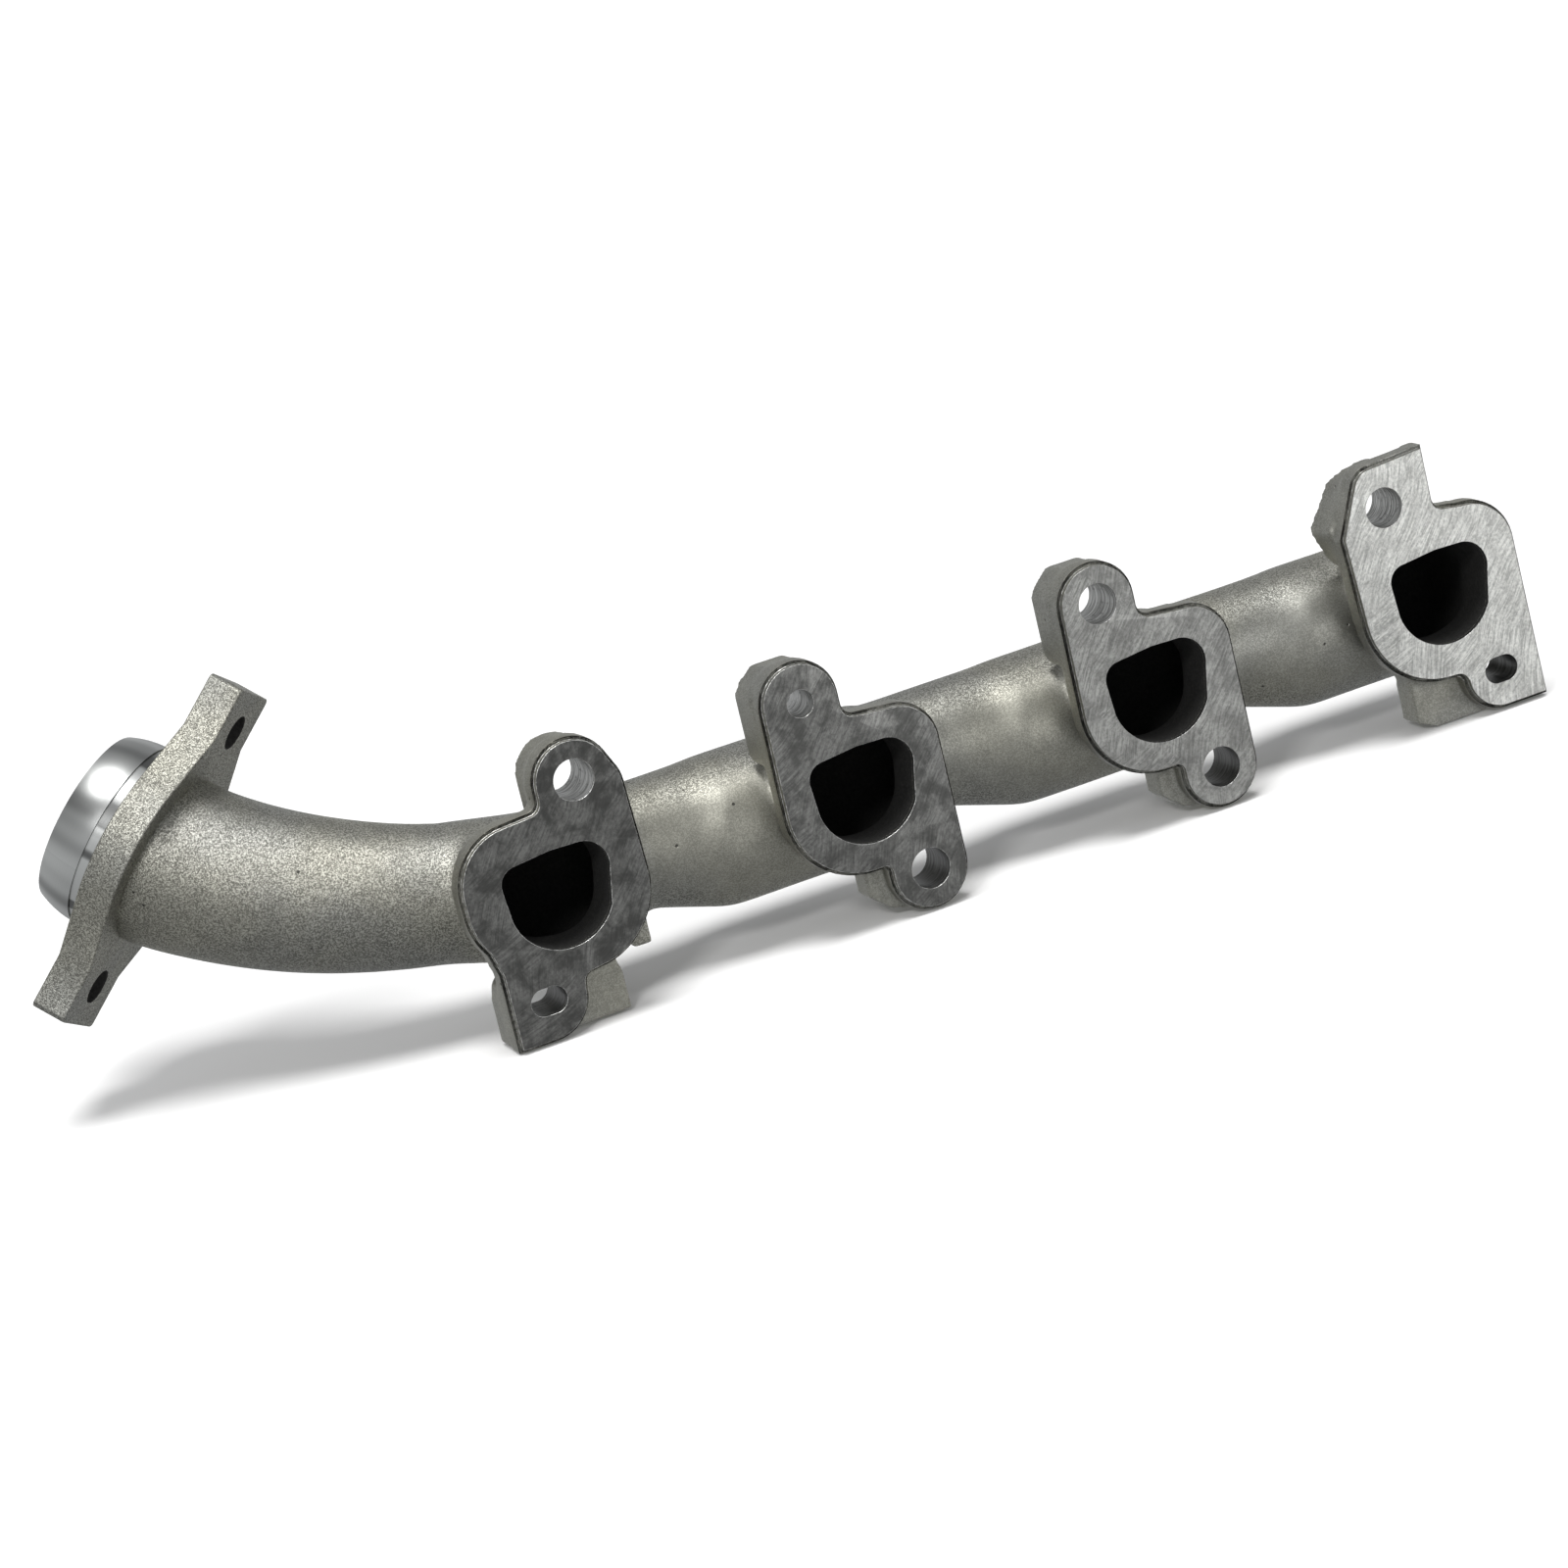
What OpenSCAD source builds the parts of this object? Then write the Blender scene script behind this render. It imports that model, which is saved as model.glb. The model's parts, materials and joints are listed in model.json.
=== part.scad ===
// Cast exhaust manifold: four D-ports on a log pipe, swept elbow, two-ear outlet with a ball seat.
// X runs along the port row towards the closed end, -Y faces the cylinder head, +Z is up.
// The origin is the locating bolt hole of port 2, on the machined head face.

/* [Port row] */
// Distance from one port to the next
port_pitch = 113.3; // [110:0.1:125]
// Length of each port flange behind its machined face
flange_t = 9; // [7:0.5:10]
// Depth of the bolt bosses from the machined face
boss_depth = 22; // [18:0.5:26]
// Depth of the lower pads from the machined face
pad_depth = 20; // [16:0.5:22]
// Thickness of the machined pad that stands proud of the casting
face_t = 2; // [1:0.5:3]
// How far the cast flange reaches past the machined pad
face_step = 1.3; // [0.5:0.1:2]

/* [D port] */
// Width of the D-shaped port
port_w = 38.4; // [34:0.2:40]
// Height of the D-shaped port
port_h = 34.2; // [30:0.2:36]
// Wall around the port neck
neck_wall = 6; // [4:0.5:7]

/* [Bolt holes] */
// Height of the upper bolt row above the port centre
upper_z = 39.4; // [38:0.2:42]
// Depth of the lower bolt row below the port centre
lower_z = 30; // [29:0.2:33]
// Sideways offset of the upper bolts on ports 2 to 4
upper_dx = 17.2; // [15:0.2:19]
// Sideways offset of the lower bolts on ports 2 to 4
lower_dx = 14.8; // [13:0.2:17]
// Sideways offset of the upper bolt on port 1
upper_dx1 = 12.6; // [11:0.2:14]
// Sideways offset of the lower bolt on port 1
lower_dx1 = 14.3; // [13:0.2:16]
// Diameter of the clearance holes
hole_d = 14.2; // [12:0.2:15]
// Diameter of the locating hole at port 2
locate_d = 9.6; // [8.6:0.2:12]
// Width of the expansion slots
slot_w = 9.4; // [8.6:0.2:12]
// Overall length of the expansion slots
slot_l = 13; // [12.2:0.2:16]
// Outer radius of the bolt lugs
lug_r = 13.3; // [12.5:0.1:14.5]

/* [Log pipe] */
// Distance from the machined face to the log axis
log_y = 38; // [37:0.5:44]
// Outer radius of the log beside port 1
log_r = 26.4; // [24:0.1:27]
// Loss of radius from one log section to the next
log_taper = 0.6; // [0:0.1:0.8]
// Level of the underside of the log
log_floor = -29.9; // [-31:0.1:-29]
// Wall of the log and the elbow
wall = 4.8; // [3.5:0.1:6]
// How far the underside rises at each waist
waist_rise = 9.2; // [4:0.2:11]

/* [Elbow] */
// Outer radius where the elbow starts
elbow_r1 = 23.8; // [22:0.1:25]
// Outer radius halfway along the elbow
elbow_r2 = 28; // [25:0.1:29]
// Outer radius at the outlet flange
elbow_r3 = 30.4; // [28:0.1:32]
// Reach of the outlet from the port 1 centre, along the row
outlet_x = 105.8; // [95:0.1:125]
// Reach of the outlet behind the machined face
outlet_y = 91.2; // [80:0.1:105]
// Height of the outlet above the port centre
outlet_z = 33.8; // [25:0.1:45]
// Turn of the outlet away from the row, degrees
outlet_turn = 45; // [35:1:55]
// Rise of the outlet above level, degrees
outlet_rise = 36; // [25:1:45]

/* [Outlet flange] */
// Thickness of the outlet flange
outlet_t = 12.5; // [10:0.5:16]
// Distance between the two ear holes
ear_pitch = 97.6; // [92:0.2:110]
// Diameter of the ear holes
ear_hole_d = 12.2; // [10:0.2:14]
// Overall length across the ears
ear_span = 127; // [122:0.5:140]
// Width of each ear
ear_w = 34; // [28:0.5:38]
// Radius of the round middle of the flange
outlet_r = 39; // [36:0.5:42]
// Roll of the ears about the outlet axis, degrees
ear_roll = 27.5; // [15:0.5:40]

/* [Ball seat] */
// Radius of the ball seat
ball_r = 33.5; // [31:0.1:36]
// Wall of the seat where the ball is widest
seat_wall = 7.9; // [5:0.1:9]
// How far the round land is turned below the ball
land_step = 0.6; // [0:0.1:2]
// Length of the round land before the ball
land_l = 5; // [4:0.1:12]
// Length of the ball part
ball_l = 13.5; // [10:0.1:16]

/* [Hidden] */
$fn = 96;
eps = 0.01;
big = 400;
iron = "#7d7c70";
machined = "#9a9a95";
bright = "#c9cbcc";

// the machined pad and the port opening share these centres and radii
port_top_r = 9.4;
port_left_r = 6.2;
port_sweep_r = port_h * 0.547;
port_cx = -1.4;
port_mid_z = 2;
port_left = port_cx - port_w / 2;
port_right = port_cx + port_w / 2;
port_top = port_mid_z + port_h / 2;
port_bottom = port_mid_z - port_h / 2;

log_bend = waist_rise / 2;
junction_left = 30;
junction_right = 26;
cone_start = 8;
waist_in = 10;
waist_out = 40;
cap_start = 10;
cap_l = 16;
cap_round = 10;

elbow_steps = 12;
elbow_sides = 48;
elbow_x0 = 27.4;
elbow_y0 = log_y + 9;
elbow_z0 = 3.8;
elbow_turn0 = 19;
elbow_rise0 = 7.5;
elbow_lead = 50;
elbow_tail = 5;
outlet_bore = elbow_r3 - wall;
seat_bore = ball_r - seat_wall;
ear_root = 44;
ear_corner = 2;

function section_r(k) = log_r - log_taper * (k - 1);
function axis_z(k) = log_floor + section_r(k);
function arc(c, r, a0, a1, n = 12) =
    [for (i = [0:n]) c + r * [cos(a0 + (a1 - a0) * i / n), sin(a0 + (a1 - a0) * i / n)]];
function heading(turn, rise) = [-cos(rise) * cos(turn), cos(rise) * sin(turn), sin(rise)];
function unit(v) = v / norm(v);

// elbow centreline, a cubic curve from the log to the outlet flange
elbow_a = [-elbow_x0, elbow_y0, elbow_z0];
elbow_d = [-outlet_x, outlet_y, outlet_z];
elbow_b = elbow_a + elbow_lead * heading(elbow_turn0, elbow_rise0);
elbow_c = elbow_d - elbow_tail * heading(outlet_turn, outlet_rise);
function elbow_at(t) = pow(1 - t, 3) * elbow_a + 3 * pow(1 - t, 2) * t * elbow_b
    + 3 * (1 - t) * t * t * elbow_c + pow(t, 3) * elbow_d;
function elbow_way(t) = unit(pow(1 - t, 2) * (elbow_b - elbow_a)
    + 2 * (1 - t) * t * (elbow_c - elbow_b) + t * t * (elbow_d - elbow_c));
function elbow_r(t) = elbow_r1 * (1 - t) * (1 - 2 * t) + 4 * elbow_r2 * t * (1 - t)
    + elbow_r3 * t * (2 * t - 1);

// everything is drawn from the port 1 centre and moved to the locating hole of port 2
module placed() {
    translate([upper_dx - port_pitch, 0, -upper_z]) children();
}
module at_port(k) {
    translate([port_pitch * (k - 1), 0, 0]) children();
}
// turns an outline in X and Z into a slab between two depths
module slab(y0, y1) {
    translate([0, y1, 0]) rotate([90, 0, 0]) linear_extrude(y1 - y0) children();
}
// a cylinder or cone along X
module along_x(x0, x1, r0, r1, z, sides = $fn) {
    translate([x0, log_y, z]) rotate([0, 90, 0]) cylinder(h = x1 - x0, r1 = r0, r2 = r1, $fn = sides);
}

module port_outline(g = 0) {
    polygon(concat(
        arc([port_left + port_left_r, port_top - 1.4 - port_left_r], port_left_r + g, 100, 184),
        arc([port_cx, port_bottom + port_sweep_r], port_sweep_r + g, 192, 332, 24),
        arc([port_right - port_top_r, port_top - 0.3 - port_top_r], port_top_r + g, -20, 84),
        [[port_cx, port_top + g]]));
}
module port_prism(y0, y1, g = 0) {
    slab(y0, y1) port_outline(g);
}

// flange outlines, grown by g for the cast part behind the machined pad
module outline_mid(g) {
    low = 26.2;
    body = [-4.6, 2.2];
    polygon(concat(
        arc([lower_dx, -lower_z], lug_r + g, 180, 360, 20),
        arc([lower_dx + lug_r - 14.4, 13.5], 14.4 + g, 0, 88),
        arc([lug_r - upper_dx + 5.3, 34.4], 5.3 - g, 270, 180, 6),
        arc([-upper_dx, upper_z], lug_r + g, 0, 180, 20),
        arc(body, low + g, 180, 272, 20),
        arc([lower_dx - lug_r - 3.2, body[1] - low - 3.2], 3.2 - g, 90, 0, 6)));
}
module outline_first(g) {
    left = -lower_dx1 - 12.8;
    polygon(concat(
        arc([-lower_dx1, -lower_z], lug_r + g, 270, 360, 12),
        arc([3.4, -28.6], 4.2 - g, 180, 100, 6),
        arc([4.2, 1.4], 25.6 + g, 282, 360, 20),
        arc([16.2, 33.4], 12.6 + g, 0, 30, 4),
        arc([upper_dx1, upper_z], lug_r + g, 24, 180, 18),
        arc([upper_dx1 - lug_r - 4.4, 36.2], 4.4 - g, 0, -86, 6),
        arc([-14.4, 11.6], 19.6 + g, 92, 180, 12),
        arc([-8.4, 6.2], 25.5 + g, 184, 214, 5),
        [[left - g, -17], [left - g, -lower_z - lug_r - g]]));
}
module outline_last(g) {
    edge = 30.2;
    polygon(concat(
        [[edge + g, -lower_z - 12.9 - g], [edge - 0.8 + g, 13.6]],
        arc([12.6, 14.2], 16.8 + g, 4, 92, 12),
        arc([5.6, 36.6], 4.5 - g, 268, 180, 6),
        [[1.1 + g, upper_z + 16 + g], [-19.5, upper_z + 14.6 + g]],
        arc([-19.6, 46.6], 7.4 + g, 92, 150, 5),
        [[-34.2 - g, 32.5]],
        arc([-4, 2], 28.5 + g, 184, 268, 20),
        arc([-2.6, -31], 4.4 - g, 88, 12, 6),
        arc([lower_dx, -lower_z], 12.9 + g, 180, 270, 12)));
}
module flange_outline(k, g = 0) {
    if (k == 1) outline_first(g);
    else if (k == 4) outline_last(g);
    else outline_mid(g);
}
// the thick cast pads behind the lower lugs
module pad_outline(k) {
    base = -lower_z - lug_r;
    if (k == 1)
        polygon([[-lower_dx1 - 13.8, -22], [-lower_dx1 - 13.8, base - 0.8], [15.7, base - 0.8],
            [15.7, -31.5], [12, -18], [-15, -14]]);
    else if (k == 4)
        polygon([[-17.8, -18], [-17, base + 1.4], [-10.1, base - 1.9], [8.3, base - 1.5], [28, base + 0.6],
            [29.5, -22], [10, -14]]);
    else
        polygon([[-6, -20], [-6, -35.5], [1, base + 1.6], [7, base], [lower_dx + 5, base],
            [lower_dx + 11.5, -39], [lower_dx + 13, -24], [10, -14]]);
}
// the bosses behind the upper lugs, with flats on all but the first
module boss_outline(k) {
    foot = 20;
    x = k == 1 ? upper_dx1 : -upper_dx;
    z = upper_z;
    if (k == 1)
        polygon(concat(arc([x, z], lug_r - 0.3, 0, 180, 20), [[x - lug_r + 0.3, foot], [x + lug_r - 0.3, foot]]));
    else if (k == 4)
        polygon([[x - 14, foot], [x - 18.6, z - 7.8], [x - 19.2, z - 4.6], [x - 13.9, z + 2.8],
            [x - 9.5, z + 9.6], [x - 1.7, z + 12.4], [x + 6.5, z + 13.6], [x + 13.6, z + 11.4], [x + 14.3, foot]]);
    else
        polygon([[x - lug_r - 1.5, foot], [x - lug_r - 1.5, z + 4.2], [x - lug_r + 1.2, z + 8.2],
            [x - 6.4, z + 12.8], [x + 4.8, z + 12.8], [x + 10.6, z + 9.4], [x + lug_r + 0.3, z + 3.4],
            [x + lug_r + 0.3, foot]]);
}
module bolt_hole(x, z, d) {
    translate([x, -1, z]) rotate([-90, 0, 0]) cylinder(h = boss_depth + 2, d = d);
}
module slot(x, z) {
    run = (slot_l - slot_w) / 2;
    for (s = [-run, run]) bolt_hole(x + s, z, slot_w);
    translate([x - run, -1, z - slot_w / 2]) cube([2 * run, boss_depth + 2, slot_w]);
}

// outer form of the log for one stretch: a raised tube, and the full bulge with its cones
module log_raised(k, x0, x1, w) {
    along_x(x0, x1, section_r(k) - log_bend - w, section_r(k) - log_bend - w, axis_z(k) + log_bend - 0.3);
}
module junction_form(k, w) {
    left = max(k - 1, 1);
    full = section_r(left) - w;
    waist = section_r(left) - waist_rise - w;
    if (k > 1) along_x(-junction_left, cone_start, full, full, axis_z(left));
    if (k < 4) {
        along_x(cone_start, junction_right, full, waist, axis_z(left));
        log_raised(k, -2, junction_right, w);
    }
    if (k == 1) hull() {
        along_x(cone_start - eps, cone_start, full, full, axis_z(left), elbow_sides);
        elbow_disc(0, w, -eps);
    }
}
module pipe_form(k, w) {
    full = section_r(k) - w;
    x0 = junction_right;
    x1 = port_pitch - junction_left;
    log_raised(k, x0, x1, w);
    along_x(x0 + waist_in, x0 + waist_out, full - waist_rise, full, axis_z(k));
    along_x(x0 + waist_out, x1, full, full, axis_z(k));
}
module cap_form(w) {
    r = section_r(3) - w;
    round_r = cap_round - w / 2;
    translate([cone_start, log_y, axis_z(3)]) rotate([0, 90, 0]) rotate_extrude() {
        square([r, cap_l - w - round_r]);
        square([r - round_r, cap_l - w]);
        translate([r - round_r, cap_l - w - round_r]) intersection() {
            circle(round_r);
            square(round_r);
        }
    }
}

// one disc across the elbow, with its thickness on the side given
module elbow_disc(t, w, side) {
    d = elbow_way(t);
    translate(elbow_at(t)) rotate([0, acos(d[2]), atan2(d[1], d[0])])
        translate([0, 0, min(side, 0)]) cylinder(h = eps, r = elbow_r(t) - w, $fn = elbow_sides);
}
// one ring of points round the elbow
function elbow_ring(t, w) = let (d = elbow_way(t), tip = acos(d[2]), spin = atan2(d[1], d[0]),
    u = [cos(tip) * cos(spin), cos(tip) * sin(spin), -sin(tip)], v = [-sin(spin), cos(spin), 0])
    [for (i = [0:elbow_sides - 1]) let (a = 360 * i / elbow_sides)
        elbow_at(t) + (elbow_r(t) - w) * (cos(a) * u + sin(a) * v)];
module at_outlet() {
    translate(elbow_d) rotate([0, 0, 180 - outlet_turn]) rotate([0, 90 - outlet_rise, 0])
        rotate([0, 0, ear_roll]) children();
}

// ---- the sections of the casting ----
module head_flange(k) {
    ux = k == 1 ? upper_dx1 : -upper_dx;
    lx = k == 1 ? -lower_dx1 : lower_dx;
    color(machined) placed() at_port(k) difference() {
        union() {
            slab(0, face_t) flange_outline(k);
            slab(face_t, flange_t) flange_outline(k, face_step);
            difference() {
                union() {
                    slab(flange_t - 1, boss_depth) boss_outline(k);
                    slab(flange_t - 1, pad_depth) pad_outline(k);
                }
                port_prism(flange_t, boss_depth + 1, neck_wall);
                junction_form(k, 0);
                if (k == 4) cap_form(0);
            }
        }
        port_prism(-1, flange_t + 1);
        bolt_hole(ux, upper_z, k == 2 ? locate_d : hole_d);
        if (k == 2 || k == 3) bolt_hole(lx, -lower_z, hole_d);
        else slot(lx, -lower_z);
    }
}
module port_neck(k) {
    color(iron) placed() at_port(k) difference() {
        port_prism(flange_t, log_y, neck_wall);
        port_prism(flange_t - 1, log_y + 1);
        junction_form(k, 0);
        if (k == 4) cap_form(0);
    }
}
module log_junction(k) {
    color(iron) placed() at_port(k) difference() {
        junction_form(k, 0);
        junction_form(k, wall);
        port_prism(-1, log_y);
        // open both ends of the bore
        if (k > 1) along_x(-junction_left - 1, cone_start, section_r(k - 1) - wall,
            section_r(k - 1) - wall, axis_z(k - 1));
        if (k == 4) along_x(0, cone_start + 1, section_r(3) - wall, section_r(3) - wall, axis_z(3));
        else log_raised(k, 0, junction_right + 1, wall);
    }
}
module log_pipe(k) {
    color(iron) placed() at_port(k) difference() {
        pipe_form(k, 0);
        pipe_form(k, wall);
        log_raised(k, junction_right - 1, port_pitch - junction_left + 1, wall);
        along_x(port_pitch - junction_left - 1, port_pitch - junction_left + 1,
            section_r(k) - wall, section_r(k) - wall, axis_z(k));
    }
}
module log_end_cap() {
    color(iron) placed() at_port(4) difference() {
        cap_form(0);
        cap_form(wall);
        along_x(cone_start - 1, cone_start + 1, section_r(3) - wall, section_r(3) - wall, axis_z(3));
        port_prism(-1, log_y);
    }
}
module outlet_elbow() {
    n = elbow_sides;
    inner = (elbow_steps + 1) * n;
    // outside rings first, then the rings of the bore
    rings = [for (w = [0, wall], j = [0:elbow_steps]) each elbow_ring(j / elbow_steps, w)];
    skin = [for (j = [0:elbow_steps - 1], i = [0:n - 1])
        let (a = j * n + i, b = j * n + (i + 1) % n) each [[a, b, b + n], [a, b + n, a + n]]];
    bore = [for (f = skin) [f[2] + inner, f[1] + inner, f[0] + inner]];
    ends = [for (j = [0, elbow_steps], i = [0:n - 1])
        let (a = j * n + i, b = j * n + (i + 1) % n, c = a + inner, d = b + inner)
        each j == 0 ? [[a, c, d], [a, d, b]] : [[a, d, c], [a, b, d]]];
    color(iron) placed() polyhedron([for (q = rings) q], concat(skin, bore, ends));
}
module outlet_flange() {
    color(iron) placed() at_outlet() difference() {
        linear_extrude(outlet_t) {
            hull() {
                circle(outlet_r);
                square([ear_root * 2, ear_w], center = true);
            }
            hull() for (x = [-1, 1], y = [-1, 1])
                translate([x * (ear_span / 2 - ear_corner), y * (ear_w / 2 - ear_corner)])
                    circle(ear_corner, $fn = 32);
        }
        translate([0, 0, -1]) cylinder(h = outlet_t + 2, r = outlet_bore);
        for (x = [-ear_pitch / 2, ear_pitch / 2])
            translate([x, 0, -1]) cylinder(h = outlet_t + 2, d = ear_hole_d);
    }
}
module ball_seat() {
    color(bright) placed() at_outlet() translate([0, 0, outlet_t]) difference() {
        union() {
            cylinder(h = land_l, r = ball_r - land_step);
            intersection() {
                translate([0, 0, land_l]) sphere(ball_r);
                translate([0, 0, land_l - eps]) cylinder(h = ball_l + eps, r = ball_r + 1);
            }
        }
        translate([0, 0, -1]) cylinder(h = land_l + ball_l + 2, r = seat_bore);
    }
}
// small cast rib under the log, beside port 1
module underside_rib() {
    color(iron) placed() difference() {
        translate([26, 22, -29]) cube([6.5, 15, 20]);
        junction_form(1, 0);
        pipe_form(1, 0);
    }
}

head_flange(1);  // head_flange_1
head_flange(2);  // head_flange_2
head_flange(3);  // head_flange_3
head_flange(4);  // head_flange_4
port_neck(1);  // port_neck_1
port_neck(2);  // port_neck_2
port_neck(3);  // port_neck_3
port_neck(4);  // port_neck_4
log_junction(1);  // log_junction_1
log_junction(2);  // log_junction_2
log_junction(3);  // log_junction_3
log_junction(4);  // log_junction_4
log_pipe(1);  // log_pipe_1
log_pipe(2);  // log_pipe_2
log_pipe(3);  // log_pipe_3
log_end_cap();
outlet_elbow();
outlet_flange();
ball_seat();
underside_rib();
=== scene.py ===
"""A cast four-port exhaust manifold: a shot-blasted skin cut into sections, with machined faces."""

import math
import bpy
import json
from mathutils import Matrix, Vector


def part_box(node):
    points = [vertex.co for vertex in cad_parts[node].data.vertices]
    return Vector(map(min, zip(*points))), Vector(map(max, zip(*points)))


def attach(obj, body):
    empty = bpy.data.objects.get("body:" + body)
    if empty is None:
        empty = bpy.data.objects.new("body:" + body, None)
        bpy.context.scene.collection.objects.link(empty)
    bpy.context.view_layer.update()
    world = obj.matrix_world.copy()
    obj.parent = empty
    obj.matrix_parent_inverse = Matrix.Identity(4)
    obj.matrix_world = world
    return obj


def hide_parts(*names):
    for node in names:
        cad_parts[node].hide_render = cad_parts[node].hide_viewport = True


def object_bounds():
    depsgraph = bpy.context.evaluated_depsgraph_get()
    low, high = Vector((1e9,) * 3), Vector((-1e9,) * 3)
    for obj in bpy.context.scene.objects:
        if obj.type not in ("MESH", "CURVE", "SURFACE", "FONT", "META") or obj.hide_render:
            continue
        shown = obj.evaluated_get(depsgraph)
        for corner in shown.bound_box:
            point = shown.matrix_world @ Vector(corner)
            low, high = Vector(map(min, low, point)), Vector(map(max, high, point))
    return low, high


bl_info = {
    "name": "Exhaust Manifold",
    "version": (1, 0, 0),
    "blender": (4, 5, 0),
    "location": "View3D > Sidebar > Manifold",
    "description": "Cast exhaust manifold with milled port faces, bored lugs and a turned ball seat",
    "category": "Add Mesh",
}

import bmesh
import bpy
import numpy as np
from mathutils import Matrix, Vector

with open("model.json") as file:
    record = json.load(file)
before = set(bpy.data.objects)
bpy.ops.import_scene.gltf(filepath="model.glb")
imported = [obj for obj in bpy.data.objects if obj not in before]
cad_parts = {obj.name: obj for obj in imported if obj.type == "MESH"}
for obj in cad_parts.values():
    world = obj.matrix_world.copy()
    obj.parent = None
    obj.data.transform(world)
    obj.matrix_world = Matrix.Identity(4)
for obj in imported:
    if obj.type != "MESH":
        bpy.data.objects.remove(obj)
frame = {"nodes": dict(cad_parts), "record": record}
NODES = frame["nodes"]
MOUNTS = {m["name"]: m for m in frame["record"]["mounts"]}
CAD_LOW, CAD_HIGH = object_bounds()
MM = 0.001
PORTS = (1, 2, 3, 4)
PIPES = (1, 2, 3)


def mount_point(name):
    return Vector(MOUNTS[name]["pos_m"])


PORT_CENTRES = [mount_point(f"port_{k}") for k in PORTS]
# half width, depth and half height of the space round a D port
PORT_REACH = np.array((21.0, 16.0, 19.0)) * MM
# where the elbow meets the branch of port 1, along the row
ELBOW_START = PORT_CENTRES[0].x - 29 * MM
# where the outlet's axis crosses the elbow's side of the outlet flange
OUTLET_FACE = mount_point("outlet_ears")
OUTLET_AXIS = Vector(MOUNTS["outlet_ears"]["axis"]).normalized()
# a radius between the outlet's bore and the outside of its ball seat
OUTLET_BORE = 29 * MM
# how far past the outlet face the land of the ball seat ends
LAND_END = (mount_point("ball_seat") - OUTLET_FACE).length
# the brightness of each milled face, painted darker towards port 1 as painted shade, and how much of it
# the dark film covers, laid on most thickly towards port 1 as more painted shade
FACE_PAINTED_TONES = (0.22, 0.29, 0.5, 0.95)
FACE_FILM_AND_PAINTED_SHADE = (0.85, 0.75, 0.5, 0.25)
# the material slots of the casting and of a milled pad, in their order
CAST_LOOKS = ("blasted_iron", "bore_oxide", "drilled_wall")
PAD_LOOKS = ("milled_face", "bright_burr", "drilled_wall", "bore_oxide", "blasted_iron")
# a length past every side of the part
FAR = 1.0
# points of a node that lie closer than this are one point
WELD = 0.002 * MM


# ---- settings a user would change ----
def length(name, default, text):
    """A length in metres."""
    return bpy.props.FloatProperty(
        name=name, default=default, min=0.0, unit="LENGTH", precision=4, description=text
    )


def share(name, default, text):
    """A number from 0 to 1."""
    return bpy.props.FloatProperty(
        name=name, default=default, min=0.0, max=1.0, subtype="FACTOR", description=text
    )


def strength(name, default, text):
    """The power of a light."""
    return bpy.props.FloatProperty(name=name, default=default, min=0.0, description=text)


def colour(name, default, text):
    return bpy.props.FloatVectorProperty(
        name=name, default=default, size=3, min=0.0, max=1.0, subtype="COLOR", description=text
    )


class ManifoldCasting(bpy.types.PropertyGroup):
    """Sizes of the cast skin."""

    cell: length("Cell", 1.0 * MM, "Size of the faces of the cast skin")
    face_depth: length("Face depth", 2.0 * MM, "How far the milled pads stand proud")
    flange_depth: length("Flange depth", 9.0 * MM, "Depth of the port flanges")
    pad_depth: length("Pad depth", 20.0 * MM, "Depth of the pads round the lower holes")
    boss_depth: length("Boss depth", 22.0 * MM, "Depth of the bosses round the upper holes")
    outlet_edge: length("Outlet edge", 0.5 * MM, "Rounding of the outlet flange's edges")
    ripple: length("Ripple", 0.12 * MM, "Height of the slow waves in the cast skin")
    burr: length("Burr", 0.13 * MM, "Width of the bright edge round each milled face")
    fillet_passes: bpy.props.IntProperty(
        name="Fillet passes", default=70, min=0, description="How far the inside corners fill up"
    )
    ease_passes: bpy.props.IntProperty(
        name="Ease passes", default=60, min=0, description="How far the pipes are smoothed"
    )


class ManifoldFinish(bpy.types.PropertyGroup):
    """Colours and finishes."""

    iron: colour("Iron", (0.50, 0.497, 0.455), "Shot-blasted iron")
    iron_dark: colour("Dark iron", (0.17, 0.168, 0.152), "Hollows of the grain")
    # painted shade: the passages are painted near black, darker than their oxide alone
    bore: colour("Bore", (0.02, 0.0195, 0.018), "Oxide inside the passages")
    milled: colour("Milled iron", (0.80, 0.80, 0.765), "Milled port faces")
    turned: colour("Turned steel", (0.60, 0.61, 0.60), "Ball seat")
    grain: length("Grain", 0.7 * MM, "Size of one grain of the blasted surface")
    grain_height: length("Grain height", 0.16 * MM, "Height of the grain")


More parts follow.
